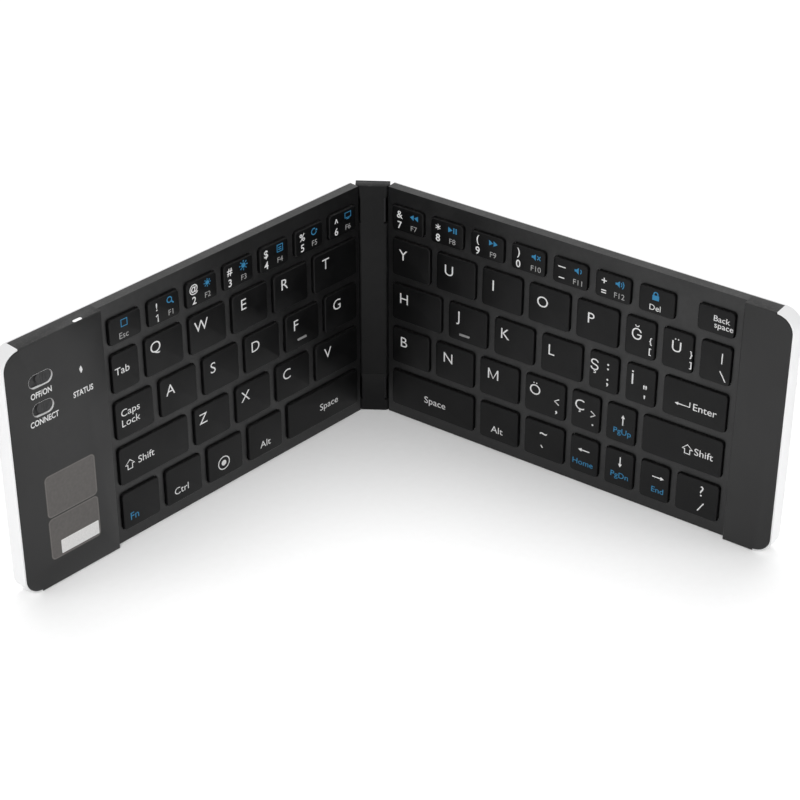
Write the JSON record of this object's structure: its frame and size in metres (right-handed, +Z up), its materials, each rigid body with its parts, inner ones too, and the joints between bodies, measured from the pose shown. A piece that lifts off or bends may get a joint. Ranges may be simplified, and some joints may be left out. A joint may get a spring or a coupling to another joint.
{
  "type": "folding keyboard",
  "caption": "Folding wireless keyboard in two hinged halves on a narrow spine, standing half open on its near edge, with raised ends, sliding switches and sprung keys.",
  "frame": {"origin": "on the floor, midway between the two hinge pins, at the middle of the spine's lower end", "axes": "+Z up along the hinge pins from the keyboard's near edge to its far edge, +X from the left half to the right half, -Y towards the typist"},
  "size_m": [0.2648, 0.1329, 0.097],
  "materials": {
    "spine_plastic": "matte",
    "spine_plate": "satin",
    "steel": "brushed",
    "cable_film": "satin",
    "shell_metal": "bead blasted",
    "deck_plastic": "matte",
    "end_plastic": "matte",
    "membrane_film": "satin",
    "dome_rubber": "matte",
    "foot_rubber": "matte",
    "board": "satin",
    "battery_foil": "satin",
    "clear_plastic": "gloss",
    "label_film": "satin",
    "knob_plastic": "matte",
    "key_plastic": "matte"
  },
  "bodies": {
    "spine": {"spine_housing": "spine_plastic", "spine_lower_cap": "spine_plastic", "spine_back_plate": "spine_plate", "left_hinge_pin": "steel", "right_hinge_pin": "steel", "flex_cable": "cable_film"},
    "left_half": {"left_back_shell": "shell_metal", "left_deck_frame": "deck_plastic", "left_hinge_bracket": "steel", "left_ear_cover": "end_plastic", "left_support_plate": "steel", "left_membrane": "membrane_film", "left_dome_sheet": "dome_rubber", "left_magnets": "steel", "left_feet": "foot_rubber", "main_board": "board", "battery": "battery_foil", "charging_socket": "steel", "light_pipes": "clear_plastic", "label_plates": "label_film"},
    "right_half": {"right_back_shell": "shell_metal", "right_deck_frame": "deck_plastic", "right_hinge_bracket": "steel", "right_ear_cover": "end_plastic", "right_support_plate": "steel", "right_membrane": "membrane_film", "right_dome_sheet": "dome_rubber", "right_magnets": "steel", "right_feet": "foot_rubber"},
    "power_slider": {"power_slider": "knob_plastic"},
    "connect_slider": {"connect_slider": "knob_plastic"},
    "key_esc": {"key_esc": "key_plastic"},
    "key_tab": {"key_tab": "key_plastic"},
    "key_caps_lock": {"key_caps_lock": "key_plastic"},
    "key_left_shift": {"key_left_shift": "key_plastic"},
    "key_fn": {"key_fn": "key_plastic"},
    "key_ctrl": {"key_ctrl": "key_plastic"},
    "key_system": {"key_system": "key_plastic"},
    "key_left_alt": {"key_left_alt": "key_plastic"},
    "key_left_space": {"key_left_space": "key_plastic"},
    "left_number_keys": {"left_number_keys": "key_plastic"},
    "left_upper_letter_keys": {"left_upper_letter_keys": "key_plastic"},
    "left_home_letter_keys": {"left_home_letter_keys": "key_plastic"},
    "left_lower_letter_keys": {"left_lower_letter_keys": "key_plastic"},
    "key_delete": {"key_delete": "key_plastic"},
    "key_backspace": {"key_backspace": "key_plastic"},
    "key_enter": {"key_enter": "key_plastic"},
    "key_up": {"key_up": "key_plastic"},
    "key_right_shift": {"key_right_shift": "key_plastic"},
    "key_right_space": {"key_right_space": "key_plastic"},
    "key_right_alt": {"key_right_alt": "key_plastic"},
    "key_tilde": {"key_tilde": "key_plastic"},
    "key_left": {"key_left": "key_plastic"},
    "key_down": {"key_down": "key_plastic"},
    "key_right": {"key_right": "key_plastic"},
    "key_slash": {"key_slash": "key_plastic"},
    "right_number_keys": {"right_number_keys": "key_plastic"},
    "right_upper_letter_keys": {"right_upper_letter_keys": "key_plastic"},
    "right_home_letter_keys": {"right_home_letter_keys": "key_plastic"},
    "right_lower_letter_keys": {"right_lower_letter_keys": "key_plastic"}
  },
  "joints": [
    {"name": "left_fold", "type": "hinge", "parent": "spine", "child": "left_half", "pos_m": [-0.0041, 0, 0], "axis": [0, 0, 1], "range_deg": [-50, 40.3]},
    {"name": "right_fold", "type": "hinge", "parent": "spine", "child": "right_half", "pos_m": [0.0041, 0, 0], "axis": [0, 0, 1], "range_deg": [-58.8, 31.5]},
    {"name": "power_slide", "type": "slide", "parent": "left_half", "child": "power_slider", "axis": [-0.6428, -0.766, 0], "range_m": [0, 0.003]},
    {"name": "connect_slide", "type": "slide", "parent": "left_half", "child": "connect_slider", "axis": [-0.6428, -0.766, 0], "range_m": [0, 0.002], "stiffness_N_per_m": 150},
    {"name": "esc_press", "type": "slide", "parent": "left_half", "child": "key_esc", "axis": [-0.766, 0.6428, 0], "range_m": [0, 0.0012], "stiffness_N_per_m": 300},
    {"name": "tab_press", "type": "slide", "parent": "left_half", "child": "key_tab", "axis": [-0.766, 0.6428, 0], "range_m": [0, 0.0012], "stiffness_N_per_m": 300},
    {"name": "caps_lock_press", "type": "slide", "parent": "left_half", "child": "key_caps_lock", "axis": [-0.766, 0.6428, 0], "range_m": [0, 0.0012], "stiffness_N_per_m": 300},
    {"name": "left_shift_press", "type": "slide", "parent": "left_half", "child": "key_left_shift", "axis": [-0.766, 0.6428, 0], "range_m": [0, 0.0012], "stiffness_N_per_m": 350},
    {"name": "fn_press", "type": "slide", "parent": "left_half", "child": "key_fn", "axis": [-0.766, 0.6428, 0], "range_m": [0, 0.0012], "stiffness_N_per_m": 300},
    {"name": "ctrl_press", "type": "slide", "parent": "left_half", "child": "key_ctrl", "axis": [-0.766, 0.6428, 0], "range_m": [0, 0.0012], "stiffness_N_per_m": 300},
    {"name": "system_press", "type": "slide", "parent": "left_half", "child": "key_system", "axis": [-0.766, 0.6428, 0], "range_m": [0, 0.0012], "stiffness_N_per_m": 300},
    {"name": "left_alt_press", "type": "slide", "parent": "left_half", "child": "key_left_alt", "axis": [-0.766, 0.6428, 0], "range_m": [0, 0.0012], "stiffness_N_per_m": 300},
    {"name": "left_space_press", "type": "slide", "parent": "left_half", "child": "key_left_space", "axis": [-0.766, 0.6428, 0], "range_m": [0, 0.0012], "stiffness_N_per_m": 350},
    {"name": "left_number_press", "type": "slide", "parent": "left_half", "child": "left_number_keys", "axis": [-0.766, 0.6428, 0], "range_m": [0, 0.0012], "stiffness_N_per_m": 1200},
    {"name": "left_upper_letter_press", "type": "slide", "parent": "left_half", "child": "left_upper_letter_keys", "axis": [-0.766, 0.6428, 0], "range_m": [0, 0.0012], "stiffness_N_per_m": 1200},
    {"name": "left_home_letter_press", "type": "slide", "parent": "left_half", "child": "left_home_letter_keys", "axis": [-0.766, 0.6428, 0], "range_m": [0, 0.0012], "stiffness_N_per_m": 1200},
    {"name": "left_lower_letter_press", "type": "slide", "parent": "left_half", "child": "left_lower_letter_keys", "axis": [-0.766, 0.6428, 0], "range_m": [0, 0.0012], "stiffness_N_per_m": 1200},
    {"name": "delete_press", "type": "slide", "parent": "right_half", "child": "key_delete", "axis": [0.5225, 0.8526, 0], "range_m": [0, 0.0012], "stiffness_N_per_m": 300},
    {"name": "backspace_press", "type": "slide", "parent": "right_half", "child": "key_backspace", "axis": [0.5225, 0.8526, 0], "range_m": [0, 0.0012], "stiffness_N_per_m": 300},
    {"name": "enter_press", "type": "slide", "parent": "right_half", "child": "key_enter", "axis": [0.5225, 0.8526, 0], "range_m": [0, 0.0012], "stiffness_N_per_m": 350},
    {"name": "up_press", "type": "slide", "parent": "right_half", "child": "key_up", "axis": [0.5225, 0.8526, 0], "range_m": [0, 0.0012], "stiffness_N_per_m": 300},
    {"name": "right_shift_press", "type": "slide", "parent": "right_half", "child": "key_right_shift", "axis": [0.5225, 0.8526, 0], "range_m": [0, 0.0012], "stiffness_N_per_m": 350},
    {"name": "right_space_press", "type": "slide", "parent": "right_half", "child": "key_right_space", "axis": [0.5225, 0.8526, 0], "range_m": [0, 0.0012], "stiffness_N_per_m": 350},
    {"name": "right_alt_press", "type": "slide", "parent": "right_half", "child": "key_right_alt", "axis": [0.5225, 0.8526, 0], "range_m": [0, 0.0012], "stiffness_N_per_m": 300},
    {"name": "tilde_press", "type": "slide", "parent": "right_half", "child": "key_tilde", "axis": [0.5225, 0.8526, 0], "range_m": [0, 0.0012], "stiffness_N_per_m": 300},
    {"name": "left_press", "type": "slide", "parent": "right_half", "child": "key_left", "axis": [0.5225, 0.8526, 0], "range_m": [0, 0.0012], "stiffness_N_per_m": 300},
    {"name": "down_press", "type": "slide", "parent": "right_half", "child": "key_down", "axis": [0.5225, 0.8526, 0], "range_m": [0, 0.0012], "stiffness_N_per_m": 300},
    {"name": "right_press", "type": "slide", "parent": "right_half", "child": "key_right", "axis": [0.5225, 0.8526, 0], "range_m": [0, 0.0012], "stiffness_N_per_m": 300},
    {"name": "slash_press", "type": "slide", "parent": "right_half", "child": "key_slash", "axis": [0.5225, 0.8526, 0], "range_m": [0, 0.0012], "stiffness_N_per_m": 300},
    {"name": "right_number_press", "type": "slide", "parent": "right_half", "child": "right_number_keys", "axis": [0.5225, 0.8526, 0], "range_m": [0, 0.0012], "stiffness_N_per_m": 1200},
    {"name": "right_upper_letter_press", "type": "slide", "parent": "right_half", "child": "right_upper_letter_keys", "axis": [0.5225, 0.8526, 0], "range_m": [0, 0.0012], "stiffness_N_per_m": 1200},
    {"name": "right_home_letter_press", "type": "slide", "parent": "right_half", "child": "right_home_letter_keys", "axis": [0.5225, 0.8526, 0], "range_m": [0, 0.0012], "stiffness_N_per_m": 1200},
    {"name": "right_lower_letter_press", "type": "slide", "parent": "right_half", "child": "right_lower_letter_keys", "axis": [0.5225, 0.8526, 0], "range_m": [0, 0.0012], "stiffness_N_per_m": 1200}
  ]
}
